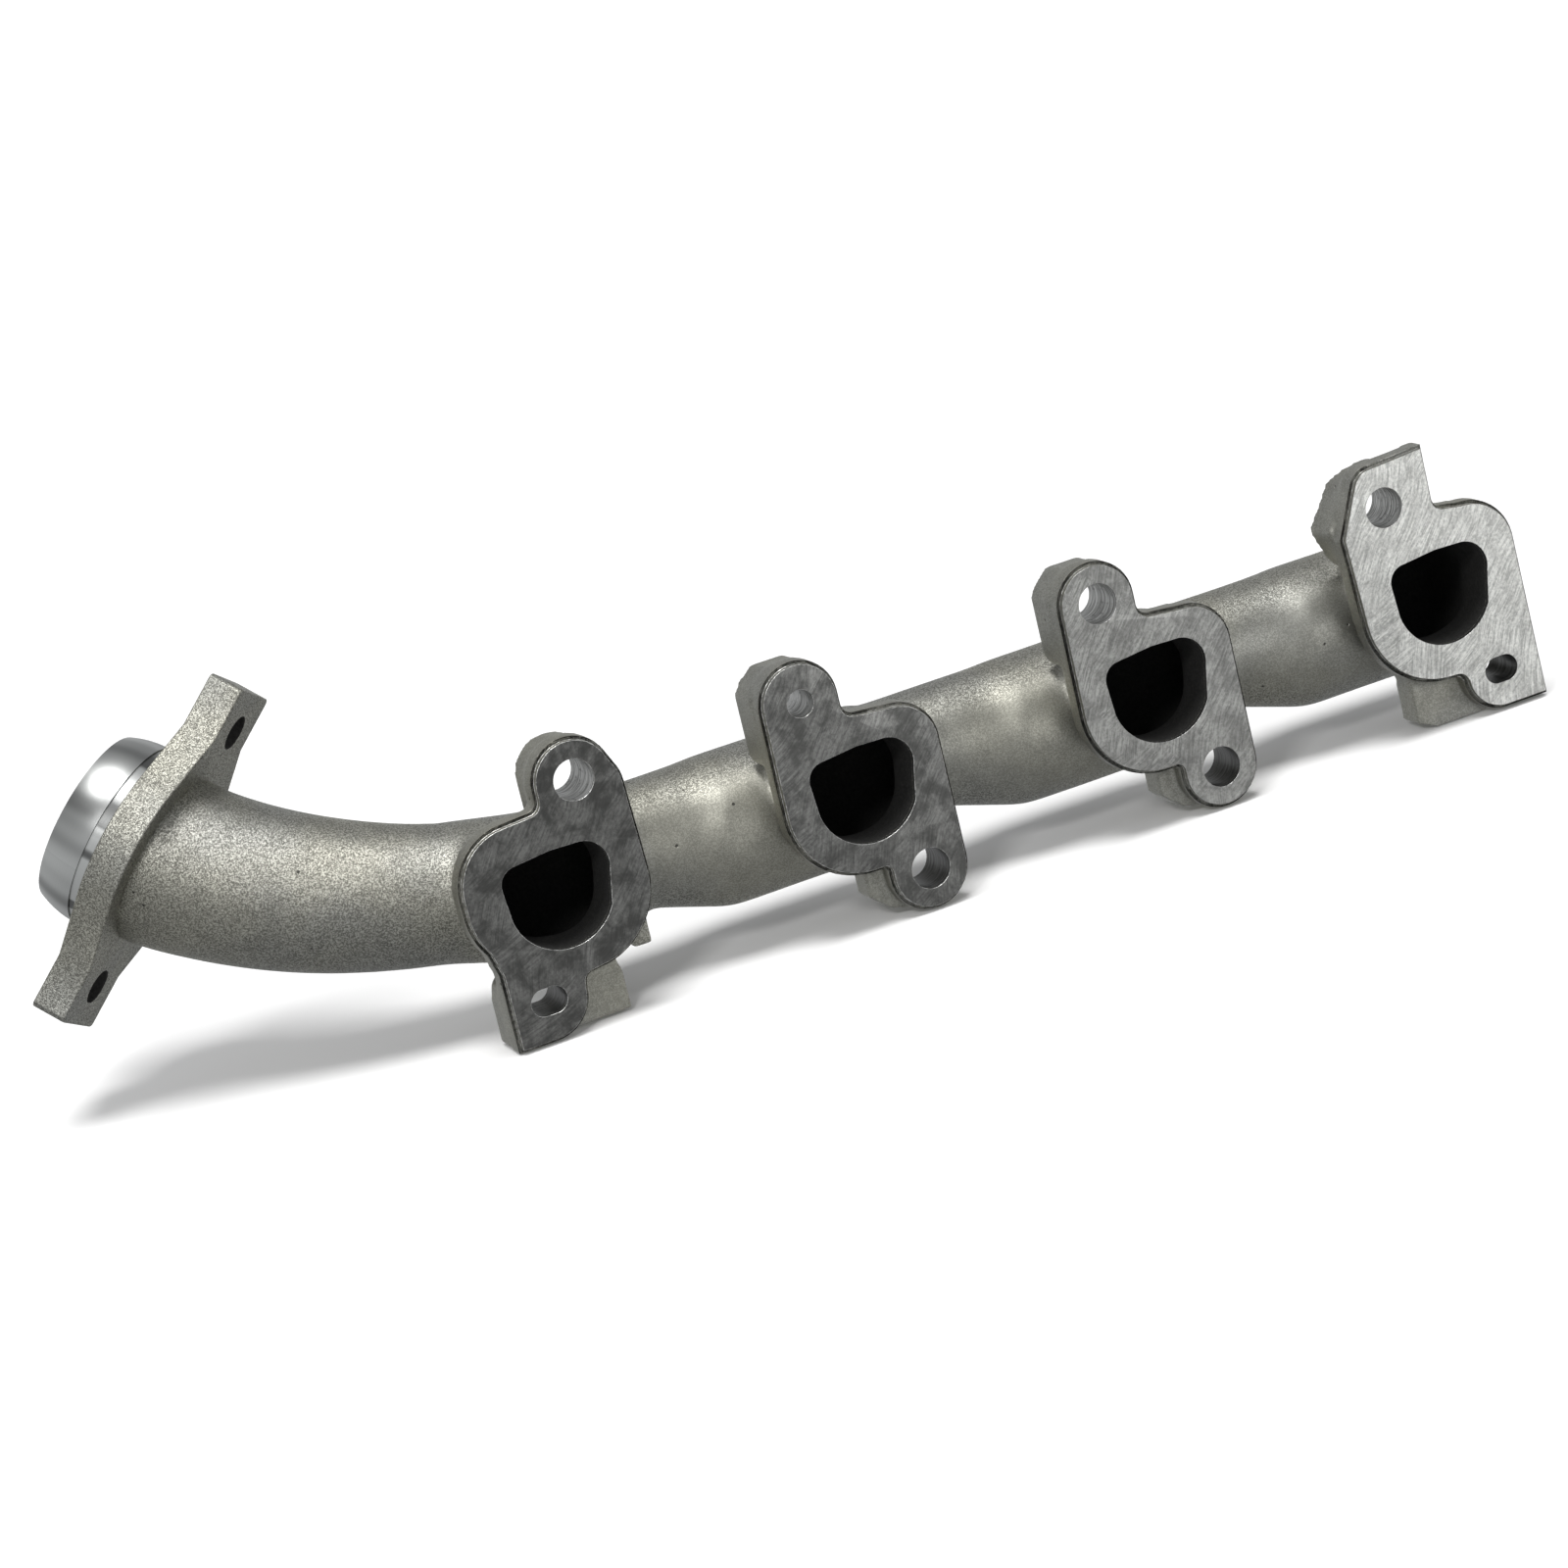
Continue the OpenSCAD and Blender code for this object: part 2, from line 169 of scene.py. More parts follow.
class ManifoldStudio(bpy.types.PropertyGroup):
    """Camera, lights and the room that the metal mirrors."""

    azimuth: bpy.props.FloatProperty(
        name="Azimuth", default=math.radians(19.405), subtype="ANGLE", description="Turn of the camera"
    )
    elevation: bpy.props.FloatProperty(
        name="Elevation", default=math.radians(14.882), subtype="ANGLE", description="Height of the camera"
    )
    roll: bpy.props.FloatProperty(
        name="Roll", default=math.radians(-13.641), subtype="ANGLE", description="Tilt of the camera"
    )
    distance: length("Distance", 1.86608, "From the camera to the point it looks at")
    lens: bpy.props.FloatProperty(
        name="Lens", default=127.86, unit="CAMERA", description="Focal length on a 36 mm sensor"
    )
    aim: bpy.props.FloatVectorProperty(
        name="Aim",
        default=(-12.37 * MM, 0.0, -24.58 * MM),
        subtype="TRANSLATION",
        description="The point the camera looks at",
    )
    sun: strength("Sun", 2.4, "Strength of the overhead light")
    sun_size: bpy.props.FloatProperty(
        name="Sun size", default=math.radians(28), subtype="ANGLE", description="How soft its shadow is"
    )
    key: strength("Key", 9.0, "Power of the light from the front left")
    fill: strength("Fill", 1.8, "Power of the light from the front right")
    horizon: share("Horizon", 0.64, "Brightness of the room at eye level")
    poles: share("Poles", 0.34, "Brightness of the room above and below")
    room: colour("Room", (0.97, 0.985, 1.0), "Colour of the room")
    paper: colour("Paper", (0.95, 0.945, 0.94), "Colour of the floor")


def casting():
    return bpy.context.scene.manifold_casting


def finish():
    return bpy.context.scene.manifold_finish


def studio():
    return bpy.context.scene.manifold_studio


# ---- materials ----
class Value:
    """A value socket that adds a Math node whenever it is used in an expression."""

    def __init__(self, sheet, socket):
        self.sheet = sheet
        self.socket = socket

    def math(self, operation, first, second):
        return self.sheet.math(operation, first, second)

    def __add__(self, other):
        return self.math("ADD", self, other)

    __radd__ = __add__

    def __sub__(self, other):
        return self.math("SUBTRACT", self, other)

    def __rsub__(self, other):
        return self.math("SUBTRACT", other, self)

    def __mul__(self, other):
        return self.math("MULTIPLY", self, other)

    __rmul__ = __mul__

    def __pow__(self, other):
        return self.math("POWER", self, other)

    def over(self, low, high):
        """0 below low, 1 above high."""
        settings = {"interpolation_type": "SMOOTHSTEP", "clamp": True}
        return self.sheet.add("ShaderNodeMapRange", settings, {"Value": self, 1: low, 2: high}).value()


class Made:
    """A node that has been added."""

    def __init__(self, sheet, node):
        self.sheet = sheet
        self.node = node

    def value(self, name=0):
        return Value(self.sheet, self.node.outputs[name])


class Nodes:
    """A node tree that is filled through one method."""

    def __init__(self, tree):
        self.tree = tree

    def link(self, source, target):
        """Joins a value to a socket, or sets the socket to a number or a colour."""
        if isinstance(source, Value):
            self.tree.links.new(source.socket, target)
        elif hasattr(target.default_value, "__len__") and len(target.default_value) == 4:
            target.default_value = (*source, 1.0)
        else:
            target.default_value = source

    def add(self, kind, settings=None, inputs=None):
        """A node of this kind, with its settings made first and then its sockets."""
        node = self.tree.nodes.new(kind)
        for name, value in (settings or {}).items():
            setattr(node, name, value)
        for name, value in (inputs or {}).items():
            self.link(value, node.inputs[name])
        return Made(self, node)

    def math(self, operation, first, second):
        """A Math node on two values."""
        return self.add("ShaderNodeMath", {"operation": operation}, {0: first, 1: second}).value()


class Sheet(Nodes):
    """One material's node tree."""

    def __init__(self, name):
        self.material = bpy.data.materials.new(name)
        self.material.use_nodes = True
        super().__init__(self.material.node_tree)
        self.shader = self.tree.nodes["Principled BSDF"]
        self.place = self.add("ShaderNodeTexCoord").value("Object")

    def noise(self, size, detail=3.0, rough=0.55, place=None, twist=0.0):
        """Cloudy noise with features of this size in metres, from 0 to 1."""
        inputs = {"Vector": place or self.place, "Scale": 1.0 / size, "Detail": detail}
        inputs.update({"Roughness": rough, "Distortion": twist})
        return self.add("ShaderNodeTexNoise", None, inputs).value("Fac")

    def cells(self, size):
        """Distance to the middle of the nearest cell, with cells of this size in metres."""
        inputs = {"Vector": self.place, "Scale": 1.0 / size}
        return self.add("ShaderNodeTexVoronoi", None, inputs).value("Distance")

    def stretched(self, scale):
        """The place, stretched along each axis."""
        return self.add("ShaderNodeMapping", None, {"Vector": self.place, "Scale": scale}).value()

    def mix(self, mask, first, second, how="MIX"):
        """Colour first where mask is 0, and second where it is 1."""
        settings = {"data_type": "RGBA", "blend_type": how}
        made = self.add("ShaderNodeMix", settings, {0: mask, 6: first, 7: second})
        return made.value(2)

    def part(self, axis):
        """One coordinate of the place."""
        return self.add("ShaderNodeSeparateXYZ", None, {"Vector": self.place}).value(axis)

    def away(self, point):
        """Distance from a point."""
        settings = {"operation": "DISTANCE"}
        return self.add("ShaderNodeVectorMath", settings, {0: self.place, 1: tuple(point)}).value("Value")

    def along(self, direction, point=(0.0, 0.0, 0.0)):
        """How far the place lies from a point in this direction."""
        settings = {"operation": "DOT_PRODUCT"}
        made = self.add("ShaderNodeVectorMath", settings, {0: self.place, 1: tuple(direction)})
        return made.value("Value") - Vector(point).dot(Vector(direction))

    def joined(self, x=0.0, y=0.0, z=0.0):
        """A vector from three values."""
        return self.add("ShaderNodeCombineXYZ", None, {"X": x, "Y": y, "Z": z}).value()

    def bump(self, height, depth):
        """A normal from a height of 0 to 1, this deep in metres."""
        inputs = {"Height": height, "Distance": depth, "Strength": 1.0}
        return self.add("ShaderNodeBump", None, inputs).value()

    def set(self, **sockets):
        """Fills the shader's own sockets; an underscore stands for a space."""
        for name, value in sockets.items():
            self.link(value, self.shader.inputs[name.replace("_", " ")])


def blasted_iron_material():
    """Shot-blasted iron: bright grains over dark hollows, slow mottling, a few pits."""
    look = finish()
    s = Sheet("blasted_iron")
    # the grain is calmer on the lugs and pads than on the log behind them
    lugs_end, log_start = 17 * MM, 26 * MM
    rough_part = s.part("Y").over(lugs_end, log_start) * 0.6 + 0.4
    grain = s.noise(look.grain, 3.0, 0.7)
    fine = s.noise(look.grain * 0.5, 2.0, 0.6)
    mottle = s.noise(7 * MM, 4.0, 0.6)
    cloud = s.noise(45 * MM, 2.0, 0.5)
    pits = 1.0 - s.cells(11 * MM).over(0.03, 0.06)
    height = (grain * 0.8 + fine * 0.35) * rough_part + mottle * 0.25 - pits * 1.6
    speck = (grain * 0.65 + fine * 0.35).over(0.43, 0.61)
    glint = speck * rough_part + (1.0 - rough_part) * 0.55
    base = s.mix(glint, look.iron_dark, look.iron)
    warm = s.mix(cloud.over(0.35, 0.65), (0.94, 0.945, 0.95), (1.0, 0.99, 0.94))
    toned = s.mix(1.0, base, warm, "MULTIPLY")
    worn = s.mix(mottle.over(0.35, 0.65), (0.88, 0.88, 0.88), (1.0, 1.0, 1.0))
    base = s.mix(1.0, toned, worn, "MULTIPLY")
    base = s.mix(pits * 0.8, base, (0.03, 0.03, 0.028))
    s.set(
        Base_Color=base,
        Metallic=0.95,
        Roughness=0.33 + (1.0 - glint) * 0.2 + mottle * 0.06,
        Normal=s.bump(height, look.grain_height),
    )
    return s.material


def bore_material():
    """The rough inside of the passages: dark oxide, painted near black as painted shade."""
    look = finish()
    s = Sheet("bore_oxide")
    grain = s.noise(look.grain * 1.4, 4.0, 0.6)
    # painted shade: the inside is painted near black, over the dark oxide
    base = s.mix(grain.over(0.35, 0.7), (0.008, 0.008, 0.007), look.bore)
    s.set(
        Base_Color=base,
        Metallic=0.1,
        Roughness=0.8 + grain * 0.2,
        Normal=s.bump(grain, look.grain_height * 1.6),
    )
    return s.material


def drilled_material():
    """The drilled wall of a bolt hole, with rings left by the drill, and painted shade in the lowest
    holes.
    """
    s = Sheet("drilled_wall")
    rings = s.noise(1.0, 2.0, 0.5, s.stretched((90.0, 1100.0, 90.0)))
    smear = s.noise(2.2 * MM, 3.0, 0.6)
    base = s.mix(rings.over(0.35, 0.65), (0.20, 0.20, 0.19), (0.62, 0.62, 0.61))
    base = s.mix(smear.over(0.58, 0.66) * 0.7, base, (0.12, 0.12, 0.115))
    # painted shade: the walls of the lowest holes are painted dark towards the bottom
    painted_shade_full, painted_shade_stop = -50 * MM, -40 * MM
    painted_low_shade = 1.0 - s.part("Z").over(painted_shade_full, painted_shade_stop)
    base = s.mix(painted_low_shade * 0.8, base, (0.03, 0.03, 0.028))
    s.set(
        Base_Color=base,
        Metallic=0.9,
        Roughness=0.28 + rings * 0.2,
        Normal=s.bump(rings, 0.12 * MM),
    )
    return s.material


def milled_material(k):
    """A milled port face: fine arcs left by the cutter, under a dark stain film; the face's brightness and
    the film's amount are painted shade, darkest on port 1.
    """
    look = finish()
    # painted shade: the colours of each face are scaled by its painted brightness, lowest on port 1
    painted_tone = FACE_PAINTED_TONES[k - 1]
    s = Sheet(f"milled_face_{k}")
    middle = PORT_CENTRES[k - 1]
    x, z = s.part("X"), s.part("Z")
    # two passes of the cutter, each round a centre beside the face
    wide = s.away(middle + Vector((90 * MM, 0.0, -50 * MM)))
    tight = s.away(middle + Vector((-50 * MM, 0.0, 60 * MM)))
    arcs = s.noise(1.0, 3.0, 0.7, s.joined(wide * 1500.0, x * 90.0, z * 90.0))
    swirl = s.noise(1.0, 3.0, 0.7, s.joined(tight * 1200.0, x * 110.0, z * 110.0))
    patch = s.noise(14 * MM, 3.0, 0.6)
    stain = s.noise(10 * MM, 5.0, 0.62, None, 0.3)
    mottle = s.noise(1.1 * MM, 4.0, 0.75)
    lines = arcs + (swirl - arcs) * patch.over(0.42, 0.58)
    marks = lines * 0.6 + mottle * 0.4
    dark = tuple(c * painted_tone * 0.5 for c in look.milled)
    light = tuple(min(1.0, c * painted_tone * 1.25) for c in look.milled)
    base = s.mix(marks.over(0.36, 0.64), dark, light)
    # the film is a stain pattern; its amount on each face is painted shade, heaviest on port 1
    film_and_painted_shade = stain.over(0.40, 0.64) * FACE_FILM_AND_PAINTED_SHADE[k - 1]
    base = s.mix(film_and_painted_shade, base, tuple(c * painted_tone * 0.34 for c in look.milled))
    s.set(
        Base_Color=base,
        Metallic=0.85,
        Roughness=0.33 + mottle * 0.14 + film_and_painted_shade * 0.25,
        Normal=s.bump(marks, 0.05 * MM),
    )
    return s.material


def burr_material():
    """The thin bright edge round each milled face."""
    s = Sheet("bright_burr")
    nick = s.noise(1.6 * MM, 3.0, 0.7)
    base = s.mix(nick.over(0.4, 0.6), (0.25, 0.25, 0.24), (0.8, 0.8, 0.78))
    s.set(Base_Color=base, Metallic=0.9, Roughness=0.25 + nick * 0.25, Normal=s.bump(nick, 0.1 * MM))
    return s.material


def turned_material():
    """Turned steel: fine lines round the outlet's axis, crossed by painted reflection streaks that are
    crisp on the land.
    """
    look = finish()
    s = Sheet("turned_seat")
    side = OUTLET_AXIS.cross(Vector((0.0, 0.0, 1.0))).normalized()
    up = side.cross(OUTLET_AXIS)
    height = s.along(OUTLET_AXIS, OUTLET_FACE)
    rise, run = s.along(up, OUTLET_FACE), s.along(side, OUTLET_FACE)
    angle = s.math("ARCTAN2", rise, run)
    outside = ((rise * rise + run * run) ** 0.5).over(OUTLET_BORE - 1 * MM, OUTLET_BORE)
    lines = s.noise(1.0, 3.0, 0.6, s.joined(height * 4200.0))
    # painted reflections: light and dark streaks by the angle round the axis stand in for the stretched
    # reflections of turned metal
    painted_streaks = s.noise(1.0, 1.0, 0.4, s.joined(angle * 2.6, 0.3))
    land = 1.0 - height.over(LAND_END - 0.2 * MM, LAND_END)
    soft = painted_streaks.over(0.3, 0.7) * 0.75 + 0.2
    crisp = painted_streaks.over(0.46, 0.52)
    painted_tone = (soft + (crisp - soft) * land) * outside
    base = s.mix(painted_tone, tuple(c * 0.25 for c in look.turned), look.turned)
    base = s.mix(lines.over(0.3, 0.7) * 0.12, base, (0.1, 0.1, 0.1))
    s.set(
        Base_Color=base,
        Metallic=1.0,
        Roughness=0.3 + lines * 0.08,
        Normal=s.bump(lines, 0.012 * MM),
    )
    return s.material


def material(name, *args):
    """One of the materials, made the first time it is asked for."""
    makers = {
        "blasted_iron": blasted_iron_material,
        "bore_oxide": bore_material,
        "drilled_wall": drilled_material,
        "milled_face": milled_material,
        "bright_burr": burr_material,
        "turned_seat": turned_material,
    }
    full = "_".join([name, *[str(a) for a in args]])
    return bpy.data.materials.get(full) or makers[name](*args)


# ---- mesh tools ----
def new_object(name, mesh):
    made = bpy.data.objects.new(name, mesh)
    bpy.context.scene.collection.objects.link(made)
    return made


def from_bmesh(name, bm):
    mesh = bpy.data.meshes.new(name)
    bm.normal_update()
    bm.to_mesh(mesh)
    bm.free()
    return new_object(name, mesh)


def facing(direction, centre):
    """A matrix that turns +Z to the direction and moves to the centre."""
    turn = Vector(direction).to_track_quat("Z", "Y").to_matrix().to_4x4()
    return Matrix.Translation(centre) @ turn


def add_rod(bm, start, end, radius, sides=72):
    """A closed round rod between two points."""
    way = end - start
    bmesh.ops.create_cone(
        bm,
        cap_ends=True,
        segments=sides,
        radius1=radius,
        radius2=radius,
        depth=way.length,
        matrix=facing(way, (start + end) / 2),
    )


def add_slab(bm, outline, y0, y1):
    """A closed prism on an outline in X and Z, between two depths."""
    front = bm.faces.new([bm.verts.new((x, y0, z)) for x, z in outline])
    made = bmesh.ops.extrude_face_region(bm, geom=[front])["geom"]
    back = [v for v in made if isinstance(v, bmesh.types.BMVert)]
    bmesh.ops.translate(bm, verts=back, vec=(0.0, y1 - y0, 0.0))
    bmesh.ops.recalc_face_normals(bm, faces=bm.faces)


def add_block(bm, low, high, matrix=None):
    """A closed box between two corners, turned by the matrix."""
    size = [b - a for a, b in zip(low, high)]
    middle = [(a + b) / 2 for a, b in zip(low, high)]
    place = Matrix.Translation(middle) @ Matrix.Diagonal((*size, 1.0))
    bmesh.ops.create_cube(bm, size=1.0, matrix=(matrix or Matrix.Identity(4)) @ place)


def block(name, low, high, matrix=None):
    bm = bmesh.new()
    add_block(bm, low, high, matrix)
    return from_bmesh(name, bm)


def stadium(centre, radius, half_run, sides=24):
    """The outline of a slot, or of a round hole when half_run is 0."""
    points = []
    for side in (1, -1):
        for i in range(sides + 1):
            a = math.pi * i / sides - math.pi / 2
            out = half_run + radius * math.cos(a)
            points.append((centre[0] + side * out, centre[1] + side * radius * math.sin(a)))
    return points if half_run else points[:sides] + points[sides + 1 : -1]


def rounded(centre, half_w, half_h, radius, sides=10):
    """The outline of a box with round corners."""
    points = []
    for i, (sx, sz) in enumerate(((1, 1), (-1, 1), (-1, -1), (1, -1))):
        for j in range(sides + 1):
            a = math.pi / 2 * (i + j / sides)
            points.append(
                (
                    centre[0] + sx * (half_w - radius) + radius * math.cos(a),
                    centre[1] + sz * (half_h - radius) + radius * math.sin(a),
                )
            )
    return points


def evaluated(obj):
    """A plain mesh of the object with its modifiers applied."""
    graph = bpy.context.evaluated_depsgraph_get()
    return bpy.data.meshes.new_from_object(obj.evaluated_get(graph))


def cut(name, part, operation, tool):
    """A new object: the part with the tool taken away, or only where both are."""
    made = new_object(name, part.data)
    change = made.modifiers.new("cut", "BOOLEAN")
    change.object = tool
    change.operation = operation
    change.solver = "MANIFOLD"
    mesh = evaluated(made)
    made.modifiers.clear()
    made.data = mesh
    if not mesh.polygons:
        raise RuntimeError(f"{name}: nothing is left after the cut")
    return made


def drop(*objects):
    for o in objects:
        bpy.data.objects.remove(o)


def coordinates(mesh):
    points = np.empty(len(mesh.vertices) * 3, np.float32)
    mesh.vertices.foreach_get("co", points)
    return points.reshape(-1, 3).astype(float)


def corners(mesh):
    """The vertex of every face corner, and the face of every face corner."""
    at = np.empty(len(mesh.loops), np.int32)
    mesh.loops.foreach_get("vertex_index", at)
    total = np.empty(len(mesh.polygons), np.int32)
    mesh.polygons.foreach_get("loop_total", total)
    return at, np.repeat(np.arange(len(total)), total)


def gather(index, values, count):
    """The sum of the values at each index."""
    return np.stack([np.bincount(index, values[:, c], count) for c in range(values.shape[1])], 1)


def ramp(values, low, high):
    """0 below low, 1 above high, smooth between."""
    t = np.clip((values - low) / (high - low), 0.0, 1.0)
    return t * t * (3.0 - 2.0 * t)


# ---- the bolt holes, read from the mounts ----
def port_holes(grow=0.0):
    """Centre, radius, half run and depth of every hole through the port flanges."""
    sizes = casting()
    holes = []
    for name, mount in MOUNTS.items():
        size = mount["dims"]
        if abs(mount["axis"][1]) < 0.99 or not ({"r_mm", "hole_r_mm"} & set(size)):
            continue
        radius = size.get("r_mm", size.get("hole_r_mm")) * MM
        run = (size.get("slot_length_mm", 2 * radius / MM) * MM - 2 * radius) / 2
        step = size.get("spacing_x_mm", 0.0) * MM / 2
        depth = sizes.pad_depth if name.startswith("lower") else sizes.boss_depth
        centre = mount_point(name)
        for side in sorted({-step, step}):
            holes.append(((centre.x + side, centre.z), radius + grow, run, depth))
    return holes


def hole_tools(name, front, back, grow=0.0):
    """The holes of the port flanges as closed prisms, from the front to past each one's own depth."""
    bm = bmesh.new()
    for centre, radius, run, depth in port_holes(grow):
        add_slab(bm, stadium(centre, radius, run), front, depth + back)
    return from_bmesh(name, bm)


def ear_holes():
    """The centre of each ear hole on the outlet flange, and its radius."""
    size = MOUNTS["outlet_ears"]["dims"]
    points = coordinates(NODES["outlet_flange"].data) - np.array(OUTLET_FACE)
    flat = points - (points @ np.array(OUTLET_AXIS))[:, None] * np.array(OUTLET_AXIS)
    along = Vector(np.linalg.svd(flat, full_matrices=False)[2][0])
    reach = size["pcd_mm"] * MM / 2
    slack = 0.05 * MM
    radius = size["hole_r_mm"] * MM + slack
    return [(OUTLET_FACE + along * side * reach, radius) for side in (-1, 1)]


def outlet_tube():
    """A short tube that carries the end of the elbow straight on, past the face of its flange."""
    points = coordinates(NODES["outlet_elbow"].data)
    height = outlet_height(points)
    on_the_face = 0.02 * MM
    last = np.abs(height) < on_the_face
    from_axis = points[last] - np.array(OUTLET_FACE) - height[last, None] * np.array(OUTLET_AXIS)
    radius = np.linalg.norm(from_axis, axis=1)
    rods = []
    run, overlap, inset = 6 * MM, 2 * MM, 0.1 * MM
    for r, past in ((radius.max() - inset, overlap), (radius.min() + inset, overlap * 2)):
        bm = bmesh.new()
        add_rod(bm, OUTLET_FACE - OUTLET_AXIS * past, OUTLET_FACE + OUTLET_AXIS * (run + past), r)
        rods.append(from_bmesh("rod", bm))
    tube = cut("outlet_tube", rods[0], "DIFFERENCE", rods[1])
    drop(*rods)
    return tube


# ---- the cast skin ----
def remeshed(name, objects, cell):
    """One closed skin round all the objects."""
    bm = bmesh.new()
    for o in objects:
        bm.from_mesh(o.data)
    joined = from_bmesh(name, bm)
    skin = joined.modifiers.new("skin", "REMESH")
    skin.mode = "VOXEL"
    skin.voxel_size = cell
    mesh = evaluated(joined)
    joined.modifiers.clear()
    joined.data = mesh
    return joined


def vertex_normals(points, at, face, count):
    """Unit normals of the vertices of a mesh of quads."""
    quad = points[at.reshape(-1, 4)]
    normal = np.cross(quad[:, 2] - quad[:, 0], quad[:, 3] - quad[:, 1])
    total = gather(at, normal[face], count)
    return total / np.maximum(np.linalg.norm(total, axis=1, keepdims=True), 1e-20)


def outlet_height(points):
    """How far each point lies past the elbow's side of the outlet flange."""
    return (points - np.array(OUTLET_FACE)) @ np.array(OUTLET_AXIS)


def in_a_port(points):
    """True inside the D ports and a little round them."""
    inside = np.zeros(len(points), bool)
    for centre in PORT_CENTRES:
        inside |= (np.abs(points - np.array(centre)) < PORT_REACH).all(axis=1)
    return inside


def on_the_pipes(points):
    """1 on the log and the elbow, and 0 on the lugs and pads in front of them and on the rib below."""
    low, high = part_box("log_pipe_1")
    radius = (high.y - low.y) / 2
    from_axis = np.hypot(points[:, 1] - (low.y + high.y) / 2, points[:, 2] - (high.z - radius))
    log = 1.0 - ramp(from_axis, radius + 1.5 * MM, radius + 5 * MM)
    flange_end = PORT_CENTRES[0].x - 24 * MM
    elbow = ramp(flange_end - points[:, 0], 0.0, 8 * MM) * ramp(points[:, 1], 20 * MM, 30 * MM)
    front = ramp(points[:, 1], 12 * MM, 20 * MM)
    rib_low, rib_high = (np.array(c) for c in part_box("underside_rib"))
    off_rib = np.maximum(rib_low - points, points - rib_high).max(axis=1)
    return np.maximum(log, elbow) * front * ramp(off_rib, 0.5 * MM, 4 * MM)


def smooth_skin(mesh):
    """Fills the inside corners into fillets, eases the edges and adds the slow waves of a casting."""
    sizes = casting()
    points = coordinates(mesh)
    at, face = corners(mesh)
    count = len(points)
    edges = np.empty(len(mesh.edges) * 2, np.int32)
    mesh.edges.foreach_get("vertices", edges)
    ends = edges.reshape(-1, 2)
    one = np.concatenate([ends[:, 0], ends[:, 1]])
    other = np.concatenate([ends[:, 1], ends[:, 0]])
    spread = 1.0 / np.maximum(np.bincount(one, minlength=count), 1)[:, None]

    def pull(p):
        return gather(one, p[other], count) * spread - p

    behind = ramp(points[:, 1], sizes.flange_depth - 0.6 * MM, sizes.flange_depth + 0.8 * MM)
    below = 1.0 - ramp(outlet_height(points), -2.0 * MM, 2.0 * MM)
    fill = (behind * below * ~in_a_port(points))[:, None]
    for i in range(sizes.fillet_passes):
        if i % 4 == 0:
            normal = vertex_normals(points, at, face, count)
        step = pull(points)
        rise = np.einsum("ij,ij->i", step, normal)[:, None]
        points += fill * 0.5 * (step - normal * np.minimum(rise, 0.0))
    # a step in and a slightly longer one out ease the steps of the cells without shrinking the part
    for _ in range(5):
        points += 0.5 * pull(points)
        points -= 0.53 * pull(points)
    pipes = (on_the_pipes(points) * below)[:, None]
    for _ in range(sizes.ease_passes):
        points += pipes * 0.5 * pull(points)
    normal = vertex_normals(points, at, face, count)
    # smoothing has shrunk the pipes a little with each pass
    shrink = 0.0035 * MM
    points += normal * pipes * sizes.ease_passes * shrink
    # three crossed waves, 30 to 45 mm long, each bent by a slower one
    x, y, z = (points / MM).T
    wave = np.sin(x / 7.1 + 1.3 * np.sin(z / 9.0)) + np.sin(z / 6.3 + y / 8.7 + np.sin(x / 13.0))
    wave += np.sin(y / 5.9 - x / 17.0 + 1.7 * np.sin(z / 11.0 + 2.0))
    points += normal * (wave * behind * sizes.ripple / 3.0)[:, None]
    points = np.clip(points, np.array(CAD_LOW), np.array(CAD_HIGH))
    mesh.vertices.foreach_set("co", points.astype(np.float32).ravel())
    mesh.update()


def connected(at, start, count):
    """A label for each vertex, the same for all that faces join; start is where each face begins."""
    label = np.arange(count)
    spans = np.diff(np.append(start, len(at)))
    while True:
        lowest = np.minimum.reduceat(label[at], start)
        new = label.copy()
        np.minimum.at(new, at, np.repeat(lowest, spans))
        new = new[new]
        if (new == label).all():
            return label
        label = new


def mark_passages(mesh):
    """Gives the faces inside the passages and the drilled walls their own material slots."""
    sizes = casting()
    points = coordinates(mesh)
    at, face = corners(mesh)
    faces = len(mesh.polygons)
    count = np.bincount(face, minlength=faces)[:, None]
    middle = gather(face, points[at], faces) / count
    on_front = np.abs(middle[:, 1] - sizes.face_depth) < 0.01 * MM
    past_outlet = outlet_height(middle) > 1 * MM
    open_corner = ~(on_front | past_outlet)[face]
    at, face = at[open_corner], face[open_corner]
    start = np.flatnonzero(np.diff(face, prepend=-1))
    label = connected(at, start, len(points))
    # the vertex nearest the log's axis, between ports 3 and 4, lies inside the passages
    cap_low, cap_high = (np.array(c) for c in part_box("log_end_cap"))
    axis = (cap_low + cap_high) / 2
    on_log = np.abs(points[:, 0] - (PORT_CENTRES[2].x + PORT_CENTRES[3].x) / 2) < 3 * MM
    reach = np.linalg.norm(points[:, 1:] - axis[1:], axis=1) + (~on_log) * FAR
    inner = label == label[np.argmin(reach)]
    slots = np.zeros(faces, np.int32)
    slots[face[start][inner[at[start]]]] = CAST_LOOKS.index("bore_oxide")
    for (hx, hz), radius, run, _ in port_holes():
        dx = np.maximum(np.abs(middle[:, 0] - hx) - run, 0.0)
        near = np.hypot(dx, middle[:, 2] - hz) < radius + 0.03 * MM
        slots[near & (middle[:, 1] < sizes.boss_depth + 1 * MM)] = CAST_LOOKS.index("drilled_wall")
    mesh.materials.clear()
    for name in CAST_LOOKS:
        mesh.materials.append(material(name))
    mesh.polygons.foreach_set("material_index", slots)
    mesh.update()


